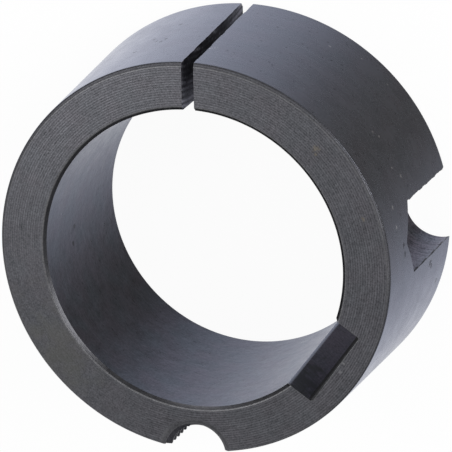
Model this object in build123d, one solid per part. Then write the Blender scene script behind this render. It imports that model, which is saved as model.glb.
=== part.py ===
from build123d import *
import math
import os

# Taper lock bushing: a split, tapered ring that grips its shaft as screws draw it into its hub.
# It stands on its large end. The bore's axis is Z, with the origin in the large end's face, and the
# keyway opens along +X. Lengths are in millimetres and angles in degrees.

# Ring
large_end_diameter = 70.0
length = 31.8
taper_per_side = 4.0
bore_diameter = 50.0
bore_chamfer = 0.55
large_end_chamfer = 0.8

# The small end's face rolls off a little before it meets the taper.
roll_off_width = 0.68
roll_off_drop = 0.15

# Keyway. Its depth is measured from the crown of the bore to the flat floor.
keyway_width = 14.0
keyway_depth = 3.8
keyway_root_radius = 0.6

# Split, seen from the small end at this angle anticlockwise from the keyway
split_width = 2.0
split_from_keyway = 124.0

# Screw half-holes. The hub holds the other half of each, so they share one circle near the taper.
screw_circle_diameter = 67.0
mounting_hole_diameter = 12.0
mounting_hole_depth = 19.5
mounting_hole_chamfer = 0.5
mounting_hole_from_split = 84.5
drill_point_angle = 118.0
jack_drill_diameter = 9.2
jack_countersink_diameter = 12.0
jack_countersink_angle = 90.0
jack_hole_from_split = 180.0

taper_slope = math.tan(math.radians(taper_per_side))
large_end_radius = large_end_diameter / 2
small_end_radius = large_end_radius - length * taper_slope
bore_radius = bore_diameter / 2
screw_circle_radius = screw_circle_diameter / 2


def tapered_ring():
    """The turned ring: a tapered outside, and a cylindrical bore with a chamfer at both ends."""
    taper_end = length - roll_off_drop
    outline = Polyline(
        (bore_radius, 0),
        (large_end_radius, 0),
        (large_end_radius - taper_end * taper_slope, taper_end),
        (small_end_radius - roll_off_width, length),
        (bore_radius, length),
        close=True,
    )
    section = make_face(outline)
    large_outer = section.vertices().sort_by_distance((large_end_radius, 0))[0]
    section = chamfer(large_outer, large_end_chamfer)
    bore_corners = section.vertices().group_by(Axis.X)[0]
    section = chamfer(bore_corners, bore_chamfer)
    return revolve(Plane.XZ * section, Axis.Z)


def keyway():
    """The broached slot for the key, open to the bore, with rounded corners at its floor."""
    floor_radius = bore_radius + keyway_depth
    profile = Pos(floor_radius / 2, 0) * Rectangle(floor_radius, keyway_width)
    root_corners = profile.vertices().group_by(Axis.X)[-1]
    profile = fillet(root_corners, keyway_root_radius)
    return extrude(profile, length)


def split():
    """The saw cut through one side of the ring, from the bore to the taper and from end to end."""
    cut = Pos(large_end_radius, 0) * Rectangle(large_end_diameter, split_width)
    return Rot(0, 0, split_from_keyway) * extrude(cut, length)


def mounting_hole():
    """A blind hole as a twist drill leaves it, chamfered at its mouth at Z 0 and pointed above."""
    radius = mounting_hole_diameter / 2
    half_angle = math.radians(drill_point_angle / 2)
    outline = Polyline(
        (0, 0),
        (radius + mounting_hole_chamfer, 0),
        (radius, mounting_hole_chamfer),
        (radius, mounting_hole_depth),
        (0, mounting_hole_depth + radius / math.tan(half_angle)),
        close=True,
    )
    return revolve(Plane.XZ * make_face(outline), Axis.Z)


def on_screw_circle(tool, angle_from_split):
    """The tool, moved to the screw circle at this angle from the split."""
    return Rot(0, 0, split_from_keyway + angle_from_split) * Pos(screw_circle_radius, 0, 0) * tool


def mounting_holes():
    """The pair of plain blind half-holes. Screws threaded in the hub press on their closed ends."""
    hole = mounting_hole()
    left = on_screw_circle(hole, mounting_hole_from_split)
    right = on_screw_circle(hole, -mounting_hole_from_split)
    return [left, right]


def jack_hole():
    """The half-hole for the screw that pushes the bushing off its hub.

    It is drilled through to the thread's inner diameter and countersunk at both ends.
    """
    drill_radius = jack_drill_diameter / 2
    mouth_radius = jack_countersink_diameter / 2
    half_angle = math.radians(jack_countersink_angle / 2)
    countersink_depth = (mouth_radius - drill_radius) / math.tan(half_angle)
    outline = Polyline(
        (0, 0),
        (mouth_radius, 0),
        (drill_radius, countersink_depth),
        (drill_radius, length - countersink_depth),
        (mouth_radius, length),
        (0, length),
        close=True,
    )
    hole = revolve(Plane.XZ * make_face(outline), Axis.Z)
    return on_screw_circle(hole, jack_hole_from_split)


bushing = tapered_ring()
bushing -= keyway()
bushing -= split()
bushing -= mounting_holes()
bushing -= jack_hole()
bushing.label = "bushing"

os.makedirs("parts", exist_ok=True)
export_step(bushing, "parts/bushing.step")
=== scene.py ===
"""Looks of a taper lock bushing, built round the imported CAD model.

The bushing is a split, tapered ring of grey cast iron: turned, ground on its taper, drilled,
tapped, broached and sawn, then phosphated dark grey. It stands on its large end. The bore's axis
is Z, and the keyway opens along +X. Angles are degrees anticlockwise from the keyway, seen from
the small end. Pieces are modelled in millimetres, and the finished mesh is scaled to the frame's
metres.
"""

import logging
import math
from dataclasses import dataclass
from enum import Enum

import bmesh
import bpy
from mathutils import Matrix, Vector, noise


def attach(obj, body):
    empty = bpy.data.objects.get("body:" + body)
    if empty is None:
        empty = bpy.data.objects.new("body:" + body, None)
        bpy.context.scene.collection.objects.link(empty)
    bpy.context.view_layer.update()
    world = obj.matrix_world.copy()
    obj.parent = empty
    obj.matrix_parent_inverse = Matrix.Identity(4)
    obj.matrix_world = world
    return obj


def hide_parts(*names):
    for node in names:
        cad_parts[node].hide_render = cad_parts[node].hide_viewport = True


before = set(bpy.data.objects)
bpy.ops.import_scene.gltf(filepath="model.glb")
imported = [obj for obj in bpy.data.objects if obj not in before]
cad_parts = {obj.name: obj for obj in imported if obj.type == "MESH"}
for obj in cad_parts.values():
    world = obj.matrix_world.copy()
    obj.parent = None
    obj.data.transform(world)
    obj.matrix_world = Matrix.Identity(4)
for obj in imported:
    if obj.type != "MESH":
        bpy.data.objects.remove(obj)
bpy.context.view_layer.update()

log = logging.getLogger("bushing")

# Short names for Blender's own types
Tree = bpy.types.NodeTree
Socket = bpy.types.NodeSocket
Shape = bmesh.types.BMesh

MM = 0.001
INCH = 25.4

# Lengths in millimetres. Places nearer than this to each other count as one
NEAR = 0.01
# How far a cutting shape runs past the end faces
OVERRUN = 2.0
# About half-way up the bushing, where the camera and the lamps are aimed
MIDDLE_HEIGHT = 16.0


# Helpers


def linear(hex_colour: str) -> tuple[float, float, float, float]:
    """Turns an sRGB hex colour to linear.

    Args:
        hex_colour: six hex digits, such as "3a3b40".

    Returns:
        Linear red, green, blue and an alpha of one.
    """
    channels = [int(hex_colour[i : i + 2], 16) / 255 for i in (0, 2, 4)]
    return (*[c / 12.92 if c <= 0.04045 else ((c + 0.055) / 1.055) ** 2.4 for c in channels], 1.0)


def node(
    tree: Tree, kind: str, inputs: dict[int | str, object] | None = None, **settings: object
) -> bpy.types.Node:
    """Adds a node with its settings and links.

    Args:
        tree: the node tree to add to.
        kind: the node's type, without its ShaderNode prefix.
        inputs: a value or an output socket for each input, by its name or number.
        settings: the node's own options.

    Returns:
        The new node.
    """
    made = tree.nodes.new("ShaderNode" + kind)
    for name, value in settings.items():
        setattr(made, name, value)
    for socket, value in (inputs or {}).items():
        if isinstance(value, Socket):
            tree.links.new(value, made.inputs[socket])
        else:
            made.inputs[socket].default_value = value
    return made


# Finishes


class Layout(Enum):
    """How the lines that a tool left are laid out on the bushing."""

    RINGS = "rings round the bore's axis, on the end faces"
    BANDS = "bands one above the other, on the taper, in the bore and in the half-holes"
    STROKES = "straight lines along the axis, in the keyway"
    SAW_ARCS = "arcs as wide as the saw blade, in the split"


# Middle of the saw blade as it leaves the ring, in line with the split
BLADE_MIDDLE = (-72.7, 107.8, 15.9)

# A noise texture keeps near a half, so a pattern made of it is stretched this many times
NOISE_STRETCH = 4
# Stretches of a noise texture's range that are spread out to a whole pattern: where a tool's
# lines break up, where the coat drifts in colour, where it is rougher, and where graphite lies
BREAK_RANGE = (0.35, 0.65)
DRIFT_RANGE = (0.38, 0.62)
ROUGHNESS_RANGE = (0.3, 0.7)
FLECK_RANGE = (0.68, 0.76)

# A tool's lines wander, and the coat drifts in colour, so many times in a millimetre
WANDER_SCALE = 0.35
DRIFT_SCALE = 0.22
# About the mean height of a tool's lines, whose highest is 1
MEAN_LINE = 0.25
# In the middle of a calm place the lines keep this share of themselves, and an even coat of
# this height takes the place of the rest
CALM_SHARE = 0.2
CALM_HEIGHT = 0.3
# How much rougher and smoother than its mean the coat is
ROUGHNESS_SPREAD = 0.05
# Flecks of graphite, a little larger than the real ones so that they show
FLECK_SIZE = 0.625
GRAPHITE = "141416"
# To make a spot's outline ragged, noise times this many of its radii is added to the distance
# from its middle, and the spot ends where the sum is this many radii
SPOT_NOISE = 2.4
SPOT_END = 2.3


@dataclass(frozen=True)
class ToolMarks:
    """Lines that a tool left. Pitch is in millimetres and depth in micrometres.

    The tone is how much of the finish's range of colour the lines take, and the waviness is how
    far they wander, in pitches. The weakest line has the least share of the strongest one's
    height, and a line fades to the faintest share of its own height where it breaks up. Round
    the calm place, as far as the reach in millimetres, the lines fade almost flat, in tone and
    height: the fading tone is painted light, for a side where the light does not catch them.
    """

    layout: Layout
    pitch: float
    depth: float
    tone: float
    waviness: float = 0.15
    least: float = 0.5
    faintest: float = 0.0
    calm: tuple[float, float, float] | None = None
    calm_reach: float = 1.0

    def across(self, tree: Tree, point: Socket) -> Socket:
        """How far a point lies across the lines, in millimetres.

        Args:
            tree: the material's node tree.
            point: the place on the surface, in millimetres.

        Returns:
            The output that holds the distance.
        """
        if self.layout is Layout.RINGS:
            inputs = {0: point, 1: (1, 1, 0)}
            flat = node(tree, "VectorMath", inputs, operation="MULTIPLY").outputs[0]
            return node(tree, "VectorMath", {0: flat}, operation="LENGTH").outputs["Value"]
        if self.layout is Layout.SAW_ARCS:
            inputs = {0: point, 1: BLADE_MIDDLE}
            return node(tree, "VectorMath", inputs, operation="DISTANCE").outputs["Value"]
        # The diagonal crosses the strokes on the keyway's floor and on its walls
        inputs = {0: point, 1: (0, 0, 1) if self.layout is Layout.BANDS else (1, 1, 0)}
        return node(tree, "VectorMath", inputs, operation="DOT_PRODUCT").outputs["Value"]

    def strength(self, tree: Tree, point: Socket) -> Socket:
        """Height of the lines from 0 to 1: each has its own, and fades in and out along itself.

        Args:
            tree: the material's node tree.
            point: the place on the surface, in millimetres.

        Returns:
            The output that holds the height.
        """
        settings = {"Vector": point, "Scale": WANDER_SCALE, "Detail": 2.0}
        wander = node(tree, "TexNoise", settings).outputs[0]
        inputs = {0: wander, 1: self.waviness * NOISE_STRETCH}
        wander = node(tree, "Math", inputs, operation="MULTIPLY").outputs[0]
        inputs = {0: self.across(tree, point), 1: self.pitch}
        lines = node(tree, "Math", inputs, operation="DIVIDE").outputs[0]
        lines = node(tree, "Math", {0: lines, 1: wander}, operation="ADD").outputs[0]

        # A line rises from 0 to 1 at its middle, and falls again
        ridge = node(tree, "Math", {0: lines, 1: 0.5}, operation="PINGPONG").outputs[0]
        ridge = node(tree, "Math", {0: ridge, 1: 2.0}, operation="MULTIPLY").outputs[0]
        number = node(tree, "Math", {0: lines}, operation="FLOOR").outputs[0]
        share = node(tree, "TexWhiteNoise", {"W": number}, noise_dimensions="1D").outputs[0]
        share = node(tree, "MapRange", {0: share, 3: self.least, 4: 1.0}).outputs[0]

        # The stretches in which a line breaks up are ten times as long as it is wide
        inputs = {0: point, "Scale": 0.1 / self.pitch}
        along = node(tree, "VectorMath", inputs, operation="SCALE").outputs[0]
        offset = node(tree, "CombineXYZ", {0: lines}).outputs[0]
        along = node(tree, "VectorMath", {0: along, 1: offset}, operation="ADD").outputs[0]
        settings = {"Vector": along, "Scale": 1.0, "Detail": 2.0}
        breaks = node(tree, "TexNoise", settings).outputs[0]
        inputs = {0: breaks, 1: BREAK_RANGE[0], 2: BREAK_RANGE[1], 3: self.faintest, 4: 1.0}
        breaks = node(tree, "MapRange", inputs).outputs[0]
        share = node(tree, "Math", {0: share, 1: breaks}, operation="MULTIPLY").outputs[0]
        height = node(tree, "Math", {0: ridge, 1: share}, operation="MULTIPLY").outputs[0]
        return self.calmed(tree, point, height) if self.calm else height

    def calmed(self, tree: Tree, point: Socket, height: Socket) -> Socket:
        """The lines' height, faded almost flat round the calm place: painted light, as there the
        light does not catch them.

        Args:
            tree: the material's node tree.
            point: the place on the surface, in millimetres.
            height: the lines' height elsewhere.

        Returns:
            The output that holds the height.
        """
        inputs = {0: point, 1: self.calm}
        away = node(tree, "VectorMath", inputs, operation="DISTANCE").outputs["Value"]
        inputs = {0: away, 1: self.calm_reach / 2, 2: self.calm_reach, 3: CALM_SHARE, 4: 1.0}
        kept = node(tree, "MapRange", inputs, interpolation_type="SMOOTHSTEP").outputs[0]
        inputs = {"Factor": kept, "A": CALM_HEIGHT, "B": height}
        return node(tree, "Mix", inputs, data_type="FLOAT").outputs[0]


@dataclass(frozen=True)
class Grain:
    """Crystals of the phosphate coat, and the patches where it took more or less.

    Sizes are in millimetres, depths in micrometres, and tones are shares of the finish's range
    of colour. A real crystal is a tenth of the size given, too fine to show.
    """

    size: float
    depth: float
    tone: float
    patch_size: float = 2.5
    patch_tone: float = 0.25
    patch_depth: float = 0.0

    def crystals(self, tree: Tree, point: Socket) -> Socket:
        """Height of the crystals, near a half on average."""
        settings = {"Vector": point, "Scale": 1 / self.size, "Detail": 4.0, "Roughness": 0.6}
        return node(tree, "TexNoise", settings).outputs[0]

    def patches(self, tree: Tree, point: Socket) -> Socket:
        """Darkness and lightness of the patches, near a half on average."""
        settings = {"Vector": point, "Scale": 1 / self.patch_size, "Detail": 5.0, "Roughness": 0.7}
        return node(tree, "TexNoise", settings).outputs[0]


@dataclass(frozen=True)
class Spots:
    """Spots of one kind, each with its place and its radius, in millimetres.

    The strength is how much of the coat's own colour a spot hides, and the depth is in
    micrometres. The softness is the width of a spot's edge as a share of its radius, and the
    outline size is how coarsely that edge is torn, in millimetres.
    """

    places: tuple[tuple[float, float, float, float], ...]
    colour: str
    strength: float
    depth: float = 0.0
    softness: float = 0.4
    outline_size: float = 0.5

    def cover(self, tree: Tree, point: Socket) -> Socket:
        """How far a spot covers the point, from 0 to 1, with ragged outlines.

        Args:
            tree: the material's node tree.
            point: the place on the surface, in millimetres.

        Returns:
            The output that holds the cover.
        """
        settings = {"Vector": point, "Scale": 1 / self.outline_size, "Detail": 2.0}
        ragged = node(tree, "TexNoise", settings).outputs[0]
        total = 0.0
        for x, y, z, radius in self.places:
            inputs = {0: point, 1: (x, y, z)}
            away = node(tree, "VectorMath", inputs, operation="DISTANCE").outputs["Value"]
            inputs = {0: ragged, 1: radius * SPOT_NOISE, 2: away}
            away = node(tree, "Math", inputs, operation="MULTIPLY_ADD").outputs[0]
            inner, outer = radius * (SPOT_END - self.softness), radius * SPOT_END
            inputs = {0: away, 1: inner, 2: outer, 3: 1.0, 4: 0.0}
            spot = node(tree, "MapRange", inputs, interpolation_type="SMOOTHSTEP").outputs[0]
            total = node(tree, "Math", {0: total, 1: spot}, operation="MAXIMUM").outputs[0]
        return total


@dataclass(frozen=True)
class Finish:
    """One way that the phosphated iron was machined, and what that gives the eye.

    The tool marks and the grain change the colour, the roughness and the height. The grazing
    colour is what the coat turns to where it is seen edge on. The drift is how far the coat
    wanders from reddish to bluish, where it is thinner or thicker. Flecks are how strongly the
    dark graphite of the iron shows.
    """

    name: str
    dark: str
    light: str
    roughness: float
    marks: ToolMarks
    grain: Grain
    spots: tuple[Spots, ...] = ()
    grazing: str = "eeeff2"
    metallic: float = 0.85
    drift: float = 0.0
    flecks: float = 0.0

    def material(self) -> bpy.types.Material:
        """Builds the finish's material, or finds it if it is built already.

        Returns:
            The material.
        """
        if self.name in bpy.data.materials:
            return bpy.data.materials[self.name]
        material = bpy.data.materials.new(self.name)
        material.use_nodes = True
        tree = material.node_tree
        tree.nodes.clear()
        place = node(tree, "TexCoord").outputs["Object"]
        point = node(tree, "VectorMath", {0: place, "Scale": 1 / MM}, operation="SCALE").outputs[0]
        lines = self.marks.strength(tree, point)
        crystals = self.grain.crystals(tree, point)
        patches = self.grain.patches(tree, point)

        # Tone runs from 0, the dark colour, to 1, the light one, and is about a half on average
        inputs = {0: lines, 1: self.marks.tone, 2: 0.5 - self.marks.tone * MEAN_LINE}
        tone = node(tree, "Math", inputs, operation="MULTIPLY_ADD").outputs[0]
        for pattern, share in ((crystals, self.grain.tone), (patches, self.grain.patch_tone)):
            centred = node(tree, "Math", {0: pattern, 1: 0.5}, operation="SUBTRACT").outputs[0]
            inputs = {0: centred, 1: share * NOISE_STRETCH, 2: tone}
            tone = node(tree, "Math", inputs, operation="MULTIPLY_ADD").outputs[0]
        inputs = {"Factor": tone, "A": linear(self.dark), "B": linear(self.light)}
        colour = node(tree, "Mix", inputs, data_type="RGBA", clamp_factor=True).outputs[2]
        if self.drift:
            colour = self.drifted(tree, point, colour)

        # Height in micrometres, as the bump's distance says
        height = 0.0
        depths = (self.marks.depth, self.grain.depth, self.grain.patch_depth)
        for pattern, depth in zip((lines, crystals, patches), depths):
            inputs = {0: pattern, 1: depth, 2: height}
            height = node(tree, "Math", inputs, operation="MULTIPLY_ADD").outputs[0]

        covers = [(self.graphite(tree, point), GRAPHITE)] if self.flecks else []
        for kind in self.spots:
            cover = kind.cover(tree, point)
            inputs = {0: cover, 1: -kind.depth, 2: height}
            height = node(tree, "Math", inputs, operation="MULTIPLY_ADD").outputs[0]
            inputs = {0: cover, 1: kind.strength}
            share = node(tree, "Math", inputs, operation="MULTIPLY").outputs[0]
            covers.append((share, kind.colour))
        for share, hex_colour in covers:
            inputs = {"Factor": share, "A": colour, "B": linear(hex_colour)}
            colour = node(tree, "Mix", inputs, data_type="RGBA").outputs[2]

        smoothest, roughest = self.roughness - ROUGHNESS_SPREAD, self.roughness + ROUGHNESS_SPREAD
        low, high = ROUGHNESS_RANGE
        inputs = {0: patches, 1: low, 2: high, 3: smoothest, 4: roughest}
        roughness = node(tree, "MapRange", inputs).outputs[0]
        inputs = {"Height": height, "Distance": MM / 1000, "Strength": 1.0}
        bump = node(tree, "Bump", inputs).outputs[0]
        inputs = {
            "Base Color": colour,
            "Metallic": self.metallic,
            "Roughness": roughness,
            "Specular Tint": linear(self.grazing),
            "Normal": bump,
        }
        shader = node(tree, "BsdfPrincipled", inputs)
        node(tree, "OutputMaterial", {"Surface": shader.outputs[0]})
        return material

    def graphite(self, tree: Tree, point: Socket) -> Socket:
        """How far dark graphite shows at a point: in small flecks, where a noise is near its top.

        Args:
            tree: the material's node tree.
            point: the place on the surface, in millimetres.

        Returns:
            The output that holds the share.
        """
        settings = {"Vector": point, "Scale": 1 / FLECK_SIZE, "Detail": 1.0}
        flecks = node(tree, "TexNoise", settings).outputs[0]
        inputs = {0: flecks, 1: FLECK_RANGE[0], 2: FLECK_RANGE[1], 4: self.flecks}
        return node(tree, "MapRange", inputs).outputs[0]

    def drifted(self, tree: Tree, point: Socket, colour: Socket) -> Socket:
        """The colour, tinted reddish in some patches and bluish in others.

        Args:
            tree: the material's node tree.
            point: the place on the surface, in millimetres.
            colour: the colour without the tints.

        Returns:
            The output that holds the tinted colour.
        """
        settings = {"Vector": point, "Scale": DRIFT_SCALE, "Detail": 3.0}
        patches = node(tree, "TexNoise", settings).outputs[0]
        inputs = {0: patches, 1: DRIFT_RANGE[0], 2: DRIFT_RANGE[1]}
        patches = node(tree, "MapRange", inputs).outputs[0]
        reddish = (1 + self.drift, 1 - self.drift, 1.0, 1.0)
        bluish = (1 - self.drift, 1 + self.drift / 2, 1 + self.drift, 1.0)
        inputs = {"Factor": patches, "A": reddish, "B": bluish}
        tint = node(tree, "Mix", inputs, data_type="RGBA").outputs[2]
        inputs = {"Factor": 1.0, "A": colour, "B": tint}
        return node(tree, "Mix", inputs, data_type="RGBA", blend_type="MULTIPLY").outputs[2]


# Pores that the grinding opened: by one plain half-hole, past the split, and two more
CASTING_PORES = Spots(
    (
        (25.54, 21.32, 24.72, 0.45),
        (26.48, 20.19, 24.3, 0.45),
        (30.5, 15.6, 10.7, 0.62),
        (30.9, 14.9, 9.9, 0.5),
        (32.97, 10.81, 4.25, 0.5),
        (32.92, 3.68, 26.79, 0.28),
        (-25.5, 22.88, 10.59, 0.3),
        (-26.81, 20.62, 16.79, 0.28),
        (-26.1, 21.32, 18.59, 0.28),
        (-25.35, 22.09, 19.3, 0.32),
        (-25.12, 22.5, 18.2, 0.28),
        (-27.6, 18.92, 21.96, 0.3),
        (-33.2, -7.4, 12.6, 0.38),
        (4.1, -34.1, 9.3, 0.45),
    ),
    colour="18181a",
    strength=0.92,
    depth=60.0,
)
# Soft dark stains in the coat
STAINS = Spots(
    (
        (-10.84, 31.38, 25.74, 0.35),
        (-25.8, 22.31, 12.74, 0.3),
        (-26.62, 21.97, 6.96, 0.3),
    ),
    colour="26272d",
    strength=0.45,
    softness=1.2,
)
# Specks and a short scratch where the coat is rubbed through to brighter iron
RUBBED_SPECKS = Spots(
    (
        (22.83, 24.61, 20.38, 0.24),
        (20.63, 25.98, 26.07, 0.35),
        (23.01, 23.86, 26.53, 0.42),
        (10.91, 31.78, 20.05, 0.28),
        (12.07, 31.43, 19.11, 0.25),
        (16.68, 29.12, 20.6, 0.35),
        (18.45, 28.18, 18.89, 0.35),
        (-3.63, 34.27, 7.64, 0.28),
        (1.56, 34.65, 4.47, 0.21),
        (7.51, 33.84, 4.78, 0.21),
        (-17.6, 28.28, 24.25, 0.22),
        (-17.3, 28.48, 24.0, 0.18),
        (-17.0, 28.69, 23.75, 0.14),
        (-16.7, 28.89, 23.5, 0.11),
    ),
    colour="bcbcc0",
    strength=0.75,
    softness=1.0,
    outline_size=0.3,
)
# Scuffs on the face beside the keyway
SCUFFS = Spots(
    ((29.16, 1.86, 31.8, 0.3), (29.64, 0.27, 31.8, 0.32)),
    colour="b0b0b3",
    strength=0.28,
    softness=1.1,
    outline_size=0.25,
)
# Smudges of thin brown rust on the face
RUST = Spots(
    ((5.9, 28.6, 31.8, 0.75), (6.3, 27.8, 31.8, 0.4), (18.2, 23.9, 31.8, 0.45)),
    colour="7d7462",
    strength=0.4,
    softness=1.1,
    outline_size=0.35,
)
# Side of the face where the rings fade: painted light, as the light does not catch the real rings
# on this side. The coat is also a little browner here
RINGS_FADED_SIDE = (-9.9, -27.3, 31.8)
BROWNED = Spots(
    ((*RINGS_FADED_SIDE, 10.5),),
    colour="5c5c57",
    strength=0.45,
    softness=1.2,
    outline_size=3.0,
)
# Two pores of the casting in the bore
BORE_PORES = Spots(
    ((-20.49, -14.33, 18.83, 0.5), (-18.86, -16.41, 20.01, 0.45)),
    colour="18181a",
    strength=0.9,
)
# Oil on one wall of the keyway, towards the small end, that turns the coat darker and greener
OIL_FILM = Spots(
    ((27.0, -7.0, 32.0, 16.0),),
    colour="2c302e",
    strength=0.8,
    softness=1.0,
    outline_size=1.5,
)
# Near-black patches over the split's walls, centred near the taper
SPLIT_DARK_PATCHES = Spots(
    ((-19.4, 28.8, 27.0, 6.0), (-19.6, 29.0, 19.0, 9.0), (-19.8, 29.4, 11.0, 8.0)),
    colour="050506",
    strength=0.9,
    softness=0.7,
    outline_size=0.8,
)

# Face turned on a lathe: fine rings one feed apart that catch the light on two sides of the ring
TURNED = Finish(
    "turned_iron", dark="343538", light="69696e", roughness=0.42,
    marks=ToolMarks(
        Layout.RINGS, pitch=0.39, depth=18.0, tone=0.6, waviness=0.06, least=0.85, faintest=0.45,
        # The rings' painted tone fades on the side where the light does not catch them
        calm=RINGS_FADED_SIDE, calm_reach=24.0,
    ),
    grain=Grain(size=0.24, depth=7.0, tone=0.42, patch_size=5.0, patch_tone=0.1),
    spots=(SCUFFS, RUST, BROWNED), metallic=0.9, drift=0.01,
)
# Chamfer turned in one plunge of the tool: smoother and darker than the face
CHAMFERED = Finish(
    "chamfered_iron", dark="2a2a2d", light="4a4a4d", roughness=0.34,
    marks=ToolMarks(Layout.RINGS, pitch=0.15, depth=1.0, tone=0.2),
    grain=Grain(size=0.3, depth=3.0, tone=0.35),
)
# Corner between the face's roll-off and the taper: never rubbed, so its coat is thick and dull
DULL_RIM = Finish(
    "dull_iron_rim", dark="2b2b2e", light="4c4c50", roughness=0.6,
    marks=ToolMarks(Layout.RINGS, pitch=0.15, depth=1.0, tone=0.2),
    grain=Grain(size=0.3, depth=3.0, tone=0.35),
)
# Countersink turned by hand: duller than the face, without its rings
COUNTERSUNK = Finish(
    "countersunk_iron", dark="404044", light="727276", roughness=0.6,
    marks=ToolMarks(Layout.BANDS, pitch=0.4, depth=2.0, tone=0.3),
    grain=Grain(size=0.25, depth=5.0, tone=0.4),
)
# Taper ground between centres: smooth, with faint bands, a soft bluish sheen and a few open pores
GROUND = Finish(
    "ground_iron", dark="4f5158", light="7a7c86", roughness=0.27,
    marks=ToolMarks(Layout.BANDS, pitch=0.36, depth=0.4, tone=0.3, waviness=0.3, least=0.2),
    grain=Grain(size=0.35, depth=0.8, tone=0.06, patch_size=4.0, patch_tone=0.12),
    spots=(CASTING_PORES, STAINS, RUBBED_SPECKS), grazing="e6e9f6", metallic=0.95, drift=0.01,
    flecks=0.5,
)
# Bore finished with a fine boring bar: as smooth as the taper, with the coat in soft patches
BORED = Finish(
    "bored_iron", dark="393b42", light="5b5d68", roughness=0.32,
    marks=ToolMarks(Layout.BANDS, pitch=0.36, depth=0.6, tone=0.4, waviness=0.3, least=0.2),
    grain=Grain(
        size=0.4, depth=3.0, tone=0.3, patch_size=2.6, patch_tone=0.34, patch_depth=90.0
    ),
    spots=(BORE_PORES,), grazing="e6e9f4", drift=0.035, flecks=0.45,
)
# Keyway drawn out by a broach: dull and bluish, with torn specks along its strokes
BROACHED = Finish(
    "broached_iron", dark="3a3941", light="62616e", roughness=0.42,
    marks=ToolMarks(Layout.STROKES, pitch=0.5, depth=3.0, tone=0.3, waviness=0.4),
    grain=Grain(size=0.5, depth=8.0, tone=0.55, patch_size=2.0, patch_tone=0.3),
    spots=(OIL_FILM,), grazing="e6e6f2", drift=0.03, flecks=0.6,
)
# Corners of the keyway's floor: painted shade, dark where the corners lie in shadow
SHADED_CORNER = Finish(
    "shaded_corner_iron", dark="0c0c0e", light="222226", roughness=0.6,
    marks=ToolMarks(Layout.STROKES, pitch=0.5, depth=1.0, tone=0.3),
    grain=Grain(size=0.5, depth=4.0, tone=0.5), metallic=0.3,
)
# Split cut by a slitting saw: dull, with the arcs of its teeth
SAWN = Finish(
    "sawn_iron", dark="060608", light="888892", roughness=0.5,
    marks=ToolMarks(
        Layout.SAW_ARCS, pitch=0.9, depth=20.0, tone=2.0, waviness=0.1, least=0.3, faintest=0.3
    ),
    grain=Grain(size=0.25, depth=6.0, tone=0.4),
    spots=(SPLIT_DARK_PATCHES,), grazing="e2e4f4", metallic=0.7,
)
# Plain half-hole left by a twist drill: fine scores of its lips round the wall
DRILLED = Finish(
    "drilled_iron", dark="292930", light="66666f", roughness=0.38,
    marks=ToolMarks(Layout.BANDS, pitch=0.24, depth=6.0, tone=0.8, waviness=0.8),
    grain=Grain(size=0.3, depth=9.0, tone=0.8, patch_size=1.6, patch_tone=0.6),
    grazing="e6e9f6", drift=0.05,
)
# Half-hole's wall along the taper, where the drill tore out: painted shadow, as under a burr
SHADOWED_LIP = Finish(
    "shadowed_lip_iron", dark="16161a", light="3c3c45", roughness=0.6,
    marks=ToolMarks(Layout.BANDS, pitch=0.3, depth=5.0, tone=0.4),
    grain=Grain(size=0.3, depth=8.0, tone=0.6), metallic=0.5,
)
# Thread cut by a tap: torn flanks that hold dark oil
TAPPED = Finish(
    "tapped_iron", dark="232327", light="56565c", roughness=0.5,
    marks=ToolMarks(Layout.BANDS, pitch=0.3, depth=2.0, tone=0.3),
    grain=Grain(size=0.15, depth=5.0, tone=0.5),
)
# Edge broken with a stone, where the coat is thin and rubbed. It is also painted lighter, as a
# painted highlight along the edge
RUBBED_EDGE_HIGHLIGHT = Finish(
    "rubbed_iron_edge_highlight", dark="484849", light="7c7c80", roughness=0.38,
    marks=ToolMarks(Layout.RINGS, pitch=0.5, depth=0.5, tone=0.2),
    grain=Grain(size=0.3, depth=3.0, tone=0.4, patch_size=3.0, patch_tone=0.25),
)


# Shapes


def as_object(shape: Shape, name: str, finishes: list[Finish]) -> bpy.types.Object:
    """Makes an object of a finished bmesh, with a material slot for each finish.

    Args:
        shape: the bmesh, which is freed.
        name: the object's name.
        finishes: the finishes, in the order of the faces' material numbers.

    Returns:
        The object, linked to the scene.
    """
    bmesh.ops.recalc_face_normals(shape, faces=shape.faces)
    mesh = bpy.data.meshes.new(name)
    shape.to_mesh(mesh)
    shape.free()
    for finish in finishes:
        mesh.materials.append(finish.material())
    made = bpy.data.objects.new(name, mesh)
    bpy.context.scene.collection.objects.link(made)
    return made


def apply_modifiers(body: bpy.types.Object) -> None:
    """Gives the body the mesh that its modifiers make, and takes the modifiers off.

    Args:
        body: the object, whose old mesh is removed.
    """
    evaluated = body.evaluated_get(bpy.context.evaluated_depsgraph_get())
    mesh = bpy.data.meshes.new_from_object(evaluated)
    body.modifiers.clear()
    old = body.data
    body.data = mesh
    bpy.data.meshes.remove(old)


def cut(body: bpy.types.Object, tool: bpy.types.Object) -> None:
    """Cuts the tool's shape out of the body, which keeps the tool's finish on the new faces.

    Args:
        body: the object that is cut.
        tool: the cutting shape, which is removed.
    """
    modifier = body.modifiers.new("cut", "BOOLEAN")
    modifier.operation = "DIFFERENCE"
    modifier.solver = "EXACT"
    modifier.material_mode = "TRANSFER"
    modifier.object = tool
    apply_modifiers(body)
    bpy.data.objects.remove(tool)


def bevel_corners(
    shape: Shape, corners: list[bmesh.types.BMVert], width: float, segments: int
) -> None:
    """Chamfers corners of a flat outline with one segment, or rounds them with more.

    Args:
        shape: the outline.
        corners: the corners to bevel.
        width: how far the bevel reaches from each corner.
        segments: how many edges take each corner's place.
    """
    bmesh.ops.bevel(
        shape,
        geom=corners,
        offset=width,
        segments=segments,
        profile=0.5,
        affect="VERTICES",
        material=-1,
    )


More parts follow.
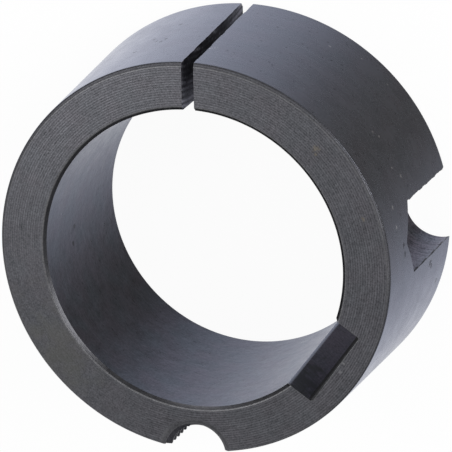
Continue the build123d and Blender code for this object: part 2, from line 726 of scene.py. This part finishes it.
def turn_full(shape: Shape, steps: int) -> None:
    """Spins an outline once round the Z axis, and joins the last step to the first.

    Args:
        shape: the outline, which becomes a surface.
        steps: steps round the turn.
    """
    bmesh.ops.spin(
        shape,
        geom=shape.verts[:] + shape.edges[:],
        angle=2 * math.pi,
        steps=steps,
        axis=(0, 0, 1),
        use_merge=True,
    )


def spun(outline: list[tuple[float, float]], steps: int) -> Shape:
    """Spins a half outline that starts and ends on the axis into a closed solid.

    Args:
        outline: radius and height of each corner.
        steps: steps round the turn.

    Returns:
        The solid, about the Z axis.
    """
    shape = bmesh.new()
    corners = [shape.verts.new((radius, 0.0, height)) for radius, height in outline]
    for start, end in zip(corners, corners[1:]):
        shape.edges.new((start, end))
    turn_full(shape, steps)
    # Close the poles
    bmesh.ops.remove_doubles(shape, verts=shape.verts, dist=1e-4)
    return shape


def slice_at(shape: Shape, place: Vector, across: Vector) -> None:
    """Adds the edges where a plane through the place, at right angles to across, meets a shape."""
    everything = shape.verts[:] + shape.edges[:] + shape.faces[:]
    bmesh.ops.bisect_plane(shape, geom=everything, plane_co=place, plane_no=across)


def put_at(shape: Shape, angle: float, from_axis: float = 0.0) -> None:
    """Moves a shape out from the bore's axis along +X, and then turns it about that axis.

    Args:
        shape: the shape, which is moved.
        angle: how far it is turned.
        from_axis: how far it is moved out.
    """
    turn = Matrix.Rotation(math.radians(angle), 4, "Z")
    place = turn @ Matrix.Translation((from_axis, 0, 0))
    bmesh.ops.transform(shape, matrix=place, verts=shape.verts)


# How much of a face's normal lies along the bore's axis. A wall has less than the first of these,
# a flat face more than the second, and a chamfer lies between the pair
WALL_LEAN = 0.1
FLAT_LEAN = 0.99
CHAMFER_LEANS = (0.65, 0.75)
# The least of it from the taper inwards: on the dull part of the corner, on the roll-off, and on
# the rounding between the roll-off and the face
CORNER_LEAN = 0.5
ROLL_OFF_LEAN = 0.86
ROUNDING_LEAN = 0.9


@dataclass
class RingBlank:
    """The turned ring, before anything is cut in it.

    The small end's face rolls off a little before it meets the taper: widest at one angle and
    deepest at another, as on a ring that sat a little askew in its chuck. The two shares are the
    mean of the roll-off's width or drop round the ring, and how far it swings from that mean.
    """

    large_end_diameter: float = 70.0
    length: float = 31.8
    taper_per_side: float = 4.0
    bore_diameter: float = 50.0
    bore_chamfer: float = 0.55
    large_end_chamfer: float = 0.8
    roll_off_width: float = 0.68
    roll_off_drop: float = 0.36
    roll_off_widest: float = 125.0
    roll_off_deepest: float = 235.0
    roll_off_margin: float = 0.2
    width_shares: tuple[float, float] = (0.675, 0.325)
    drop_shares: tuple[float, float] = (0.8, 0.2)
    outer_rounding: float = 0.22
    inner_rounding: float = 0.15
    rim_break: float = 0.15
    steps: int = 480

    def build(self) -> bpy.types.Object:
        """Spins the chamfered section round the bore's axis.

        Returns:
            The ring, with a finish on each of its surfaces.
        """
        bore = self.bore_diameter / 2
        large = self.large_end_diameter / 2
        slope = math.tan(math.radians(self.taper_per_side))
        small = large - self.length * slope
        roll_off_end = self.length - self.roll_off_drop
        # Radius and height of each corner, and width and segments of its chamfer or rounding
        corners = {
            (bore, 0.0): (self.bore_chamfer, 1),
            (large, 0.0): (self.large_end_chamfer, 1),
            (large - roll_off_end * slope, roll_off_end): (self.outer_rounding, 4),
            (small - self.roll_off_width, self.length): (self.inner_rounding, 3),
            (bore, self.length): (self.bore_chamfer, 1),
        }
        shape = bmesh.new()
        points = [shape.verts.new((radius, 0.0, height)) for radius, height in corners]
        shape.faces.new(points)
        for point, (width, segments) in zip(points, corners.values()):
            bevel_corners(shape, [point], width, segments)
        rim = [v for v in shape.verts if abs(v.co.x - bore - self.bore_chamfer) < NEAR]
        bevel_corners(shape, rim, self.rim_break, 2)
        bmesh.ops.delete(shape, geom=shape.faces[:], context="FACES_ONLY")
        turn_full(shape, self.steps)
        bmesh.ops.recalc_face_normals(shape, faces=shape.faces)
        finishes = [TURNED, CHAMFERED, GROUND, BORED, RUBBED_EDGE_HIGHLIGHT, DULL_RIM]
        for face in shape.faces:
            face.material_index = finishes.index(self.finish_on(face))
        corner = Vector((small, self.length))
        for vertex in shape.verts:
            self.uneven_roll_off(vertex, corner)
        return as_object(shape, "bushing_body", finishes)

    def uneven_roll_off(self, vertex: bmesh.types.BMVert, corner: Vector) -> None:
        """Narrows the roll-off away from its widest side, and flattens it away from its deepest.

        Args:
            vertex: a vertex of the ring, which is moved if it belongs to the roll-off.
            corner: radius and height of the corner where the face would meet the taper.
        """
        away = Vector((vertex.co.xy.length, vertex.co.z)) - corner
        margin = self.roll_off_margin
        if away.x < -self.roll_off_width - margin or away.y < -self.roll_off_drop - margin:
            return
        around = math.degrees(math.atan2(vertex.co.y, vertex.co.x))
        mean, swing = self.width_shares
        width_share = mean + swing * math.cos(math.radians(around - self.roll_off_widest))
        mean, swing = self.drop_shares
        drop_share = mean + swing * math.cos(math.radians(around - self.roll_off_deepest))
        placed = corner + Vector((away.x * width_share, away.y * drop_share))
        vertex.co.xy *= placed.x / vertex.co.xy.length
        vertex.co.z = placed.y

    def finish_on(self, face: bmesh.types.BMFace) -> Finish:
        """The finish of one face, told by the way that it faces.

        Args:
            face: a face of the ring, before its roll-off is made uneven.

        Returns:
            The finish.
        """
        lean = abs(face.normal.z)
        outward = face.normal.xy.dot(face.calc_center_median().xy) > 0
        if lean < WALL_LEAN:
            return GROUND if outward else BORED
        if lean > FLAT_LEAN:
            return TURNED
        if not outward:
            low, high = CHAMFER_LEANS
            return CHAMFERED if low < lean < high else RUBBED_EDGE_HIGHLIGHT
        # The rounding next to the face takes the rubbed coat, painted lighter as a highlight
        if lean > ROUNDING_LEAN:
            return RUBBED_EDGE_HIGHLIGHT
        if lean > ROLL_OFF_LEAN:
            return TURNED
        if face.normal.z < 0:
            return CHAMFERED
        return DULL_RIM if lean > CORNER_LEAN else GROUND


@dataclass
class Keyway:
    """The broached slot for the key: rounded corners at its floor, and chamfers at the bore.

    The corners, within the corner width of the floor, take painted shade, dark as they lie in
    shadow. The edge chamfer's two measures are along the keyway's depth and across its width.
    """

    width: float = 14.0
    floor_from_axis: float = 28.8
    root_radius: float = 0.4
    root_segments: int = 6
    corner_width: float = 0.75
    wall_from_axis: float = 24.38
    edge_chamfer: tuple[float, float] = (0.66, 0.3)

    def tool(self, length: float) -> bpy.types.Object:
        """The broach's shape, through the whole length.

        Args:
            length: the ring's length.

        Returns:
            The cutting shape.
        """
        half = self.width / 2
        along, across = self.edge_chamfer
        # From the floor along one wall and its chamfer, and on well into the bore
        half_outline = [
            (self.floor_from_axis, half),
            (self.wall_from_axis, half),
            (self.wall_from_axis - along, half + across),
            (self.wall_from_axis - 5 * along, half + across),
        ]
        outline = half_outline + [(x, -y) for x, y in reversed(half_outline)]
        shape = bmesh.new()
        shape.faces.new([shape.verts.new((x, y, -OVERRUN)) for x, y in outline])
        roots = [v for v in shape.verts if v.co.x > self.floor_from_axis - NEAR]
        bevel_corners(shape, roots, self.root_radius, self.root_segments)
        made = bmesh.ops.extrude_face_region(shape, geom=shape.faces[:], use_keep_orig=True)
        raised = [part for part in made["geom"] if isinstance(part, bmesh.types.BMVert)]
        bmesh.ops.translate(shape, vec=(0, 0, length + 2 * OVERRUN), verts=raised)
        corner_start = self.floor_from_axis - self.corner_width
        slice_at(shape, Vector((corner_start, 0, 0)), Vector((1, 0, 0)))
        finishes = [BROACHED, SHADED_CORNER, GROUND]
        for face in shape.faces:
            middle = face.calc_center_median()
            side = abs(middle.y)
            # Faces in the floor's corners take painted shade
            in_corner = middle.x > corner_start and side > half - self.root_radius
            at_chamfer = middle.x < self.wall_from_axis and half < side < half + across - NEAR
            finish = SHADED_CORNER if in_corner else GROUND if at_chamfer else BROACHED
            face.material_index = finishes.index(finish)
        return as_object(shape, "broach", finishes)


# How many steps and burrs a millimetre of a torn edge has, how high they are in the whole, and
# the depth within which they die out
STEP_SCALE, STEP_HEIGHT = 0.75, 0.6
BURR_SCALE, BURR_HEIGHT = 2.0, 0.7
TEAR_REACH = 0.7


def steps_along(place: Vector, side: float) -> float:
    """Irregular steps of a torn edge, unlike on the two sides of a cut.

    Args:
        place: the place on the edge.
        side: 1 or -1, for one side of the cut or the other.

    Returns:
        How far the step reaches, mostly between -1 and 1.
    """
    # The first two coordinates only pick a row of the noise for each side
    step = noise.cell(Vector((side * 7, 0.3, place.z * STEP_SCALE)))
    burr = noise.noise(Vector((side * 5, 0.6, place.z * BURR_SCALE)))
    return STEP_HEIGHT * (2 * step - 1) + BURR_HEIGHT * burr


def nearness(ring: RingBlank, place: Vector, reach: float) -> float:
    """How near a place is to the taper: 1 on it or outside it, and 0 deeper than the reach."""
    taper = ring.large_end_diameter / 2 - place.z * math.tan(math.radians(ring.taper_per_side))
    return min(max(1 - (taper - place.xy.length) / reach, 0.0), 1.0)


@dataclass
class Split:
    """The saw cut through one side of the ring, torn in small steps where it leaves the taper.

    The saw's path runs from inner to outer, measured from the bore's axis, and to the spare past
    both ends. The two edge tears are those of the side towards the keyway and of the other side.
    The waves are how often its walls wave in a millimetre, outwards and upwards.
    """

    width: float = 2.0
    angle: float = 124.0
    wall_tear: float = 0.04
    waves: tuple[float, float] = (0.6, 0.5)
    edge_tears: tuple[float, float] = (0.075, 0.045)
    facet: float = 0.3
    inner: float = 24.0
    outer: float = 36.0
    spare: float = 1.0

    def tool(self, ring: RingBlank) -> bpy.types.Object:
        """The saw's path, from the bore out past the taper.

        Args:
            ring: the ring that it cuts.

        Returns:
            The cutting shape.
        """
        top = ring.length + self.spare
        shape = bmesh.new()
        size = (self.outer - self.inner, self.width, ring.length + 2 * self.spare, 1)
        middle = Matrix.Translation(((self.inner + self.outer) / 2, 0, ring.length / 2))
        bmesh.ops.create_cube(shape, size=1, matrix=middle @ Matrix.Diagonal(size))
        # Small facets, so that the walls can be torn
        outwards, upwards = Vector((1, 0, 0)), Vector((0, 0, 1))
        for first, last, way in (
            (self.inner, self.outer, outwards),
            (-self.spare, top, upwards),
        ):
            for number in range(1, round((last - first) / self.facet)):
                slice_at(shape, way * (first + number * self.facet), way)
        out_waves, up_waves = self.waves
        for vertex in shape.verts:
            side = math.copysign(1, vertex.co.y)
            tear = self.edge_tears[side > 0] * nearness(ring, vertex.co, TEAR_REACH)
            x, z = vertex.co.x * out_waves, vertex.co.z * up_waves
            wave = noise.noise(Vector((x, side * 5, z)))
            vertex.co.y += self.wall_tear * wave + tear * steps_along(vertex.co, side)
        put_at(shape, self.angle)
        return as_object(shape, "saw", [SAWN])


@dataclass
class MountingHalfHole:
    """A plain blind half-hole with a drill's point, open in the large end's face.

    Its mouth is filed back: each of the mouth's pairs is how far, and at which height. Its wall
    is made in rows, scored by the drill, and torn in small steps where the drill broke out of
    the taper, more on one side than on the other. On the less torn side a strip along the taper,
    of the given width and from the given height up, is painted dark: painted shadow, as under a
    burr at the rim. The scores are how often the wall waves in a radius round the turn, and in a
    millimetre of height.
    """

    angle: float
    diameter: float = 12.0
    depth: float = 19.5
    point_angle: float = 118.0
    from_axis: float = 33.5
    mouth: tuple[tuple[float, float], ...] = ((0.8, 0.0), (0.42, 0.3), (0.15, 0.7), (0.0, 1.1))
    wall_tear: float = 0.03
    edge_tears: tuple[float, float] = (0.05, 0.1)
    scores: tuple[float, float] = (1.5, 2.6)
    lip: float = 0.25
    lip_above: float = 1.0
    row: float = 0.2
    steps: int = 120

    def tool(self, ring: RingBlank) -> bpy.types.Object:
        """The drill's shape, from below the large end up to its point, scored round its wall.

        Args:
            ring: the ring that it cuts.

        Returns:
            The cutting shape.
        """
        radius = self.diameter / 2
        point = self.depth + radius / math.tan(math.radians(self.point_angle / 2))
        mouth = [(radius + back, height) for back, height in self.mouth]
        rows = int((self.depth - mouth[-1][1]) / self.row)
        wall = [(radius, self.depth - self.row * (rows - number)) for number in range(rows + 1)]
        below = [(0, -OVERRUN), (mouth[0][0], -OVERRUN)]
        shape = spun([*below, *mouth, *wall, (0, point)], self.steps)
        to_circle = Vector((self.from_axis, 0, 0))
        round_turn, upwards = self.scores
        for vertex in shape.verts:
            if vertex.co.xy.length > radius - NEAR:
                around = vertex.co.xy.normalized()
                x, y = around.x * round_turn, around.y * round_turn + self.angle
                score = noise.noise(Vector((x, y, vertex.co.z * upwards)))
                side = math.copysign(1, around.y)
                placed = vertex.co + to_circle
                tear = self.edge_tears[side > 0] * nearness(ring, placed, TEAR_REACH)
                step = steps_along(placed, side)
                vertex.co.xy += around * (self.wall_tear * score + tear * step)
        finishes = [DRILLED, SHADOWED_LIP]
        for face in shape.faces:
            middle = face.calc_center_median()
            # A strip of wall near the taper, on the less torn side, takes painted shadow
            at_taper = nearness(ring, middle + to_circle, self.lip) > 0
            torn = at_taper and middle.y < 0 and middle.z > self.lip_above
            face.material_index = finishes.index(SHADOWED_LIP if torn else DRILLED)
        put_at(shape, self.angle, self.from_axis)
        return as_object(shape, "drill", finishes)


@dataclass
class JackHalfHole:
    """The threaded half-hole, drilled through, countersunk at both ends and tapped.

    A countersink's mouth rolls over into the face, as a stone leaves it, and the tool clears the
    face beyond it. The thread's flanks would meet a share of the pitch past its root.
    """

    angle: float = 304.0
    drill_diameter: float = 9.2
    countersink_diameter: float = 12.0
    mouth_roll: float = 0.4
    mouth_dip: float = 0.12
    mouth_clearance: float = 0.5
    thread_diameter: float = 11.11
    threads_per_inch: float = 14.0
    flank_angle: float = 27.5
    apex_past_root: float = 0.16
    from_axis: float = 33.5
    crest_below_small_end: float = 2.1
    steps: int = 96
    thread_steps: int = 36

    def drill(self, length: float) -> bpy.types.Object:
        """The drill's and the countersinks' shape, through the whole length.

        Args:
            length: the ring's length.

        Returns:
            The cutting shape.
        """
        radius = self.drill_diameter / 2
        mouth = self.countersink_diameter / 2
        # Radius and depth of each corner, from the drilled wall out past the face
        flare = [
            (radius, mouth - radius),
            (mouth - self.mouth_roll, self.mouth_roll),
            (mouth, self.mouth_dip),
            (mouth + self.mouth_roll, 0.0),
            (mouth + self.mouth_clearance, -OVERRUN),
        ]
        bottom = [(r, z) for r, z in reversed(flare)]
        top = [(r, length - z) for r, z in flare]
        shape = spun([(0, -OVERRUN), *bottom, *top, (0, length + OVERRUN)], self.steps)
        put_at(shape, self.angle, self.from_axis)
        bmesh.ops.recalc_face_normals(shape, faces=shape.faces)
        finishes = [TAPPED, COUNTERSUNK]
        for face in shape.faces:
            wall = abs(face.normal.z) <= WALL_LEAN
            face.material_index = finishes.index(TAPPED if wall else COUNTERSUNK)
        return as_object(shape, "jack_drill", finishes)

    def tap(self, length: float) -> bpy.types.Object:
        """The helical groove that the tap cuts, a ridge in section, run past both ends.

        Args:
            length: the ring's length.

        Returns:
            The cutting shape.
        """
        pitch = INCH / self.threads_per_inch
        drill = self.drill_diameter / 2
        root = self.thread_diameter / 2
        slope = math.tan(math.radians(self.flank_angle))
        apex = root + self.apex_past_root * pitch
        root_half = (apex - root) * slope
        mouth_half = (apex - drill) * slope
        turns = math.ceil(length / pitch) + 3
        # A crest, midway between two grooves, faces the bore at the depth that the photograph
        # shows. The bore is half a turn on from where the spin starts, below the large end.
        groove = length - self.crest_below_small_end - pitch / 2
        start = groove - 0.5 * pitch
        start -= math.ceil((start + 1.5 * pitch) / pitch) * pitch
        # The ridge starts a little inside the drilled wall, and its top is a little crowned
        inside, spread, crown = 0.3, 0.02, 0.06
        outline = [
            (drill - inside, -mouth_half - spread),
            (drill, -mouth_half),
            (root, -root_half),
            (root + crown, 0.0),
            (root, root_half),
            (drill, mouth_half),
            (drill - inside, mouth_half + spread),
        ]
        shape = bmesh.new()
        corners = [shape.verts.new((radius, 0, start + height)) for radius, height in outline]
        ridge = shape.faces.new(corners)
        bmesh.ops.spin(
            shape,
            geom=[ridge, *ridge.edges, *ridge.verts],
            angle=2 * math.pi * turns,
            steps=self.thread_steps * turns,
            axis=(0, 0, 1),
            dvec=(0, 0, pitch / self.thread_steps),
        )
        put_at(shape, self.angle, self.from_axis)
        return as_object(shape, "tap", [TAPPED])


@dataclass
class Bushing:
    """The whole bushing: one piece of iron, cut by each tool in turn.

    Convex edges are broken above one angle, and edges stay sharp in the shading above another.
    Corners as near as a sliver are merged before the edges are broken, and those as near as a
    speck after the last cut.
    """

    ring: RingBlank
    keyway: Keyway
    split: Split
    mounting: list[MountingHalfHole]
    jack: JackHalfHole
    edge_break: float = 0.06
    break_above: float = 60.0
    sharp_above: float = 40.0
    sliver: float = 0.012
    speck: float = 0.002

    def build(self) -> bpy.types.Object:
        """Broaches the ring, breaks its edges, saws, drills and taps it, and finishes the piece.

        Returns:
            The finished object, in metres.
        """
        length = self.ring.length
        body = self.ring.build()
        cut(body, self.keyway.tool(length))
        self.break_edges(body)
        cut(body, self.split.tool(self.ring))
        for hole in self.mounting:
            cut(body, hole.tool(self.ring))
        cut(body, self.jack.drill(length))
        cut(body, self.jack.tap(length))
        self.shade(body)
        body.name = body.data.name = "bushing_iron"
        return body

    def break_edges(self, body: bpy.types.Object) -> None:
        """Rounds the convex edges a little, as a file or a stone leaves them.

        Args:
            body: the broached ring, which is changed.
        """
        shape = bmesh.new()
        shape.from_mesh(body.data)
        bmesh.ops.remove_doubles(shape, verts=shape.verts, dist=self.sliver)
        bmesh.ops.dissolve_degenerate(shape, edges=shape.edges, dist=NEAR)
        least = math.radians(self.break_above)
        convex = [edge for edge in shape.edges if edge.is_manifold and edge.is_convex]
        made = bmesh.ops.bevel(
            shape,
            geom=[edge for edge in convex if edge.calc_face_angle() > least],
            offset=self.edge_break,
            segments=2,
            profile=0.5,
            affect="EDGES",
            material=-1,
            clamp_overlap=False,
        )
        # The broken edges take the rubbed coat, painted lighter as a highlight
        rubbed = body.data.materials.find(RUBBED_EDGE_HIGHLIGHT.name)
        for face in made["faces"]:
            face.material_index = rubbed
        shape.to_mesh(body.data)
        shape.free()

    def shade(self, body: bpy.types.Object) -> None:
        """Scales the mesh to metres, smooths its shading and keeps its sharp edges.

        Args:
            body: the cut bushing, which is changed.
        """
        shape = bmesh.new()
        shape.from_mesh(body.data)
        bmesh.ops.remove_doubles(shape, verts=shape.verts, dist=self.speck)
        # Two faces that share a corner of only two edges could fold on each other as triangles
        spare = [vertex for vertex in shape.verts if len(vertex.link_edges) == 2]
        bmesh.ops.dissolve_verts(shape, verts=spare)
        bmesh.ops.scale(shape, vec=(MM, MM, MM), verts=shape.verts)
        for face in shape.faces:
            face.smooth = True
        most = math.radians(self.sharp_above)
        for edge in shape.edges:
            edge.smooth = edge.is_manifold and edge.calc_face_angle() < most
        shape.to_mesh(body.data)
        shape.free()
        weighted = body.modifiers.new("weighted", "WEIGHTED_NORMAL")
        weighted.mode = "FACE_AREA"
        weighted.weight = 50
        weighted.keep_sharp = True
        apply_modifiers(body)


# Studio


@dataclass
class Softbox:
    """A square lamp that faces the bushing from a given side.

    Angles are in degrees, distance and size in metres, and power in watts.
    """

    name: str
    azimuth: float
    elevation: float
    distance: float
    size: float
    power: float

    def place(self) -> None:
        """Adds the lamp, aimed at the middle of the bushing."""
        lamp = bpy.data.lights.new(self.name, "AREA")
        lamp.shape = "SQUARE"
        lamp.size = self.size
        lamp.energy = self.power
        around, above = math.radians(self.azimuth), math.radians(self.elevation)
        east, north = math.cos(around) * math.cos(above), math.sin(around) * math.cos(above)
        out = Vector((east, north, math.sin(above)))
        holder = bpy.data.objects.new(self.name, lamp)
        holder.location = out * self.distance + Vector((0, 0, MIDDLE_HEIGHT * MM))
        holder.rotation_euler = out.to_track_quat("Z", "Y").to_euler()
        bpy.context.scene.collection.objects.link(holder)


@dataclass
class Camera:
    """The camera at the photograph's viewing angle, in degrees and millimetres.

    It looks down at the small end from off the bore's axis, moved a little to its right and up,
    and rolled so that the split points up in the picture, as in the photograph. Its focal length
    is in pixels of a picture of the given width.
    """

    azimuth: float = 80.6
    off_axis: float = 25.8
    split_up: float = 123.05
    distance: float = 440.6
    right_shift: float = 0.668
    up_shift: float = 0.862
    focal_length: float = 2670.7
    picture_width: float = 452.0
    sensor_width: float = 36.0
    nearest: float = 10.0

    def place(self) -> None:
        """Adds the camera and makes it the scene's."""
        around, tilt = math.radians(self.azimuth), math.radians(self.off_axis)
        roll = math.radians(self.split_up)
        east, north = math.sin(tilt) * math.cos(around), math.sin(tilt) * math.sin(around)
        back = Vector((east, north, math.cos(tilt)))
        right = Vector((math.cos(roll), math.sin(roll), 0)).cross(back).normalized()
        up = back.cross(right)
        aim = Vector((0, 0, MIDDLE_HEIGHT))
        place = back * self.distance + right * self.right_shift + up * self.up_shift + aim
        lens = bpy.data.cameras.new("camera")
        lens.sensor_width = self.sensor_width
        lens.lens = self.focal_length / self.picture_width * lens.sensor_width
        lens.clip_start = self.nearest * MM
        holder = bpy.data.objects.new("camera", lens)
        turn = Matrix((right, up, back)).transposed().to_4x4()
        holder.matrix_world = Matrix.Translation(place * MM) @ turn
        bpy.context.scene.collection.objects.link(holder)
        bpy.context.scene.camera = holder


def seen_plainly(tree: Tree) -> Socket:
    """Tells rays that show a place to the camera, also through something clear, from others.

    Args:
        tree: the node tree of the place's material or of the world.

    Returns:
        The output that holds 1 for those rays and 0 for others.
    """
    path = node(tree, "LightPath").outputs
    inputs = {0: path["Is Camera Ray"], 1: path["Is Transmission Ray"]}
    return node(tree, "Math", inputs, operation="MAXIMUM").outputs[0]


@dataclass
class Studio:
    """A plain white sweep, soft light, and the camera."""

    softboxes: list[Softbox]
    camera: Camera
    # Brightness and blueness of the backdrop that the metal shows, by direction in degrees
    backdrop: tuple[tuple[float, float, float], ...] = (
        (-180, 1.41, 0.0),
        (-146, 1.43, -0.005),
        (-118, 1.3, 0.0),
        (-74, 1.27, -0.01),
        (-16, 0.88, 0.01),
        (12, 0.5, -0.03),
        (41, 0.2, -0.07),
        (70, 0.26, -0.07),
        (99, 0.35, -0.01),
        (127, 0.88, 0.02),
        (156, 1.17, 0.015),
        (180, 1.41, 0.0),
    )
    brightest: float = 1.5
    # Brightness overhead, and the bands under it. Heights are those of a direction, from -1 to 1.
    # A band's numbers are the heights between which it gives way to what is above it, its own
    # brightness, and the share of the backdrop that is added to that
    above: float = 0.75
    bands: tuple[tuple[float, float, float, float], ...] = (
        (0.82, 1.0, 0.1, 0.5),
        (0.2, 0.5, 0.06, 0.2),
    )
    # Heights between which the whole backdrop takes over below the horizon
    below: tuple[float, float] = (-0.1, -0.55)
    floor_size: float = 6.0
    floor_colour: str = "f4f4f4"
    floor_glow: float = 0.95

    def build(self) -> None:
        """Sets the view settings and makes every part of the studio."""
        bpy.context.scene.view_settings.view_transform = "Standard"
        self.light_the_world()
        self.lay_the_floor()
        for box in self.softboxes:
            box.place()
        self.camera.place()

    def light_the_world(self) -> None:
        """The backdrop: white to the camera, and a pale sweep with a darker side to the metal."""
        world = bpy.data.worlds.new("studio")
        bpy.context.scene.world = world
        world.use_nodes = True
        tree = world.node_tree
        tree.nodes.clear()
        direction = node(tree, "TexCoord").outputs["Generated"]
        parts = node(tree, "SeparateXYZ", {0: direction}).outputs
        around = node(tree, "Math", {0: parts[1], 1: parts[0]}, operation="ARCTAN2").outputs[0]
        inputs = {0: around, 1: -math.pi, 2: math.pi, 3: 0.0, 4: 1.0}
        turned = node(tree, "MapRange", inputs).outputs[0]
        ramp = node(tree, "ValToRGB", {0: turned})
        ramp.color_ramp.interpolation = "B_SPLINE"
        stops = ramp.color_ramp.elements
        while len(stops) < len(self.backdrop):
            stops.new(0.5)
        # A stop holds 1 at most, so the ramp holds shares of the brightest
        for stop, (angle, value, blueness) in zip(stops, self.backdrop):
            stop.position = (angle + 180) / 360
            shade = value / self.brightest
            stop.color = (shade * (1 - blueness), shade, shade * (1 + 2 * blueness), 1)
        inputs = {0: ramp.outputs[0], "Scale": self.brightest}
        sweep = node(tree, "VectorMath", inputs, operation="SCALE").outputs[0]
        height = parts[2]
        rise = self.above
        for start, end, level, share in self.bands:
            inputs = {0: sweep, 1: share, 2: level}
            lower = node(tree, "Math", inputs, operation="MULTIPLY_ADD").outputs[0]
            inputs = {0: height, 1: start, 2: end, 3: lower, 4: rise}
            rise = node(tree, "MapRange", inputs, interpolation_type="SMOOTHSTEP").outputs[0]
        inputs = {0: height, 1: self.below[0], 2: self.below[1], 3: 0.0, 4: 1.0}
        below = node(tree, "MapRange", inputs, interpolation_type="SMOOTHSTEP").outputs[0]
        inputs = {"Factor": below, "A": rise, "B": sweep}
        glow = node(tree, "Mix", inputs, data_type="RGBA").outputs[2]
        lit = node(tree, "Background", {"Color": glow, "Strength": 1.0}).outputs[0]
        white = node(tree, "Background", {"Color": (1, 1, 1, 1), "Strength": 1.0}).outputs[0]
        mixed = node(tree, "MixShader", {0: seen_plainly(tree), 1: lit, 2: white}).outputs[0]
        node(tree, "OutputWorld", {"Surface": mixed})

    def lay_the_floor(self) -> None:
        """A white floor that keeps the object's shadow and lets the metal see the backdrop."""
        shape = bmesh.new()
        bmesh.ops.create_circle(shape, cap_ends=True, segments=96, radius=self.floor_size / 2)
        mesh = bpy.data.meshes.new("floor")
        shape.to_mesh(mesh)
        shape.free()
        floor = bpy.data.objects.new("floor", mesh)
        bpy.context.scene.collection.objects.link(floor)
        material = bpy.data.materials.new("white_sweep")
        material.use_nodes = True
        tree = material.node_tree
        tree.nodes.clear()
        paper = node(tree, "BsdfDiffuse", {"Color": linear(self.floor_colour)}).outputs[0]
        white = node(tree, "Emission", {"Color": (1, 1, 1, 1), "Strength": 1.0}).outputs[0]
        inputs = {0: seen_plainly(tree), 1: self.floor_glow}
        glow = node(tree, "Math", inputs, operation="MULTIPLY").outputs[0]
        surface = node(tree, "MixShader", {0: glow, 1: paper, 2: white}).outputs[0]
        clear = node(tree, "BsdfTransparent").outputs[0]
        glossy = node(tree, "LightPath").outputs["Is Glossy Ray"]
        surface = node(tree, "MixShader", {0: glossy, 1: surface, 2: clear}).outputs[0]
        node(tree, "OutputMaterial", {"Surface": surface})
        mesh.materials.append(material)


def main() -> None:
    """Builds the bushing and the studio, and ties the bushing to the CAD part."""
    logging.basicConfig(level=logging.INFO, format="%(name)s: %(message)s")
    split = Split()
    mounting_from_split = 84.5
    bushing = Bushing(
        ring=RingBlank(),
        keyway=Keyway(),
        split=split,
        mounting=[
            MountingHalfHole(split.angle + mounting_from_split),
            MountingHalfHole(split.angle - mounting_from_split),
        ],
        jack=JackHalfHole(),
    )
    piece = bushing.build()
    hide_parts("bushing")
    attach(piece, "root")
    log.info("%s: %d faces", piece.name, len(piece.data.polygons))
    studio = Studio(
        softboxes=[
            Softbox("side", azimuth=56, elevation=27, distance=0.6, size=0.38, power=3.4),
            Softbox("front", azimuth=146, elevation=21, distance=0.6, size=0.24, power=0.7),
            Softbox("top", azimuth=203, elevation=62, distance=0.16, size=0.07, power=0.036),
        ],
        camera=Camera(),
    )
    studio.build()
    log.info("studio: floor, %d softboxes and camera", len(studio.softboxes))


if __name__ == "__main__":
    main()
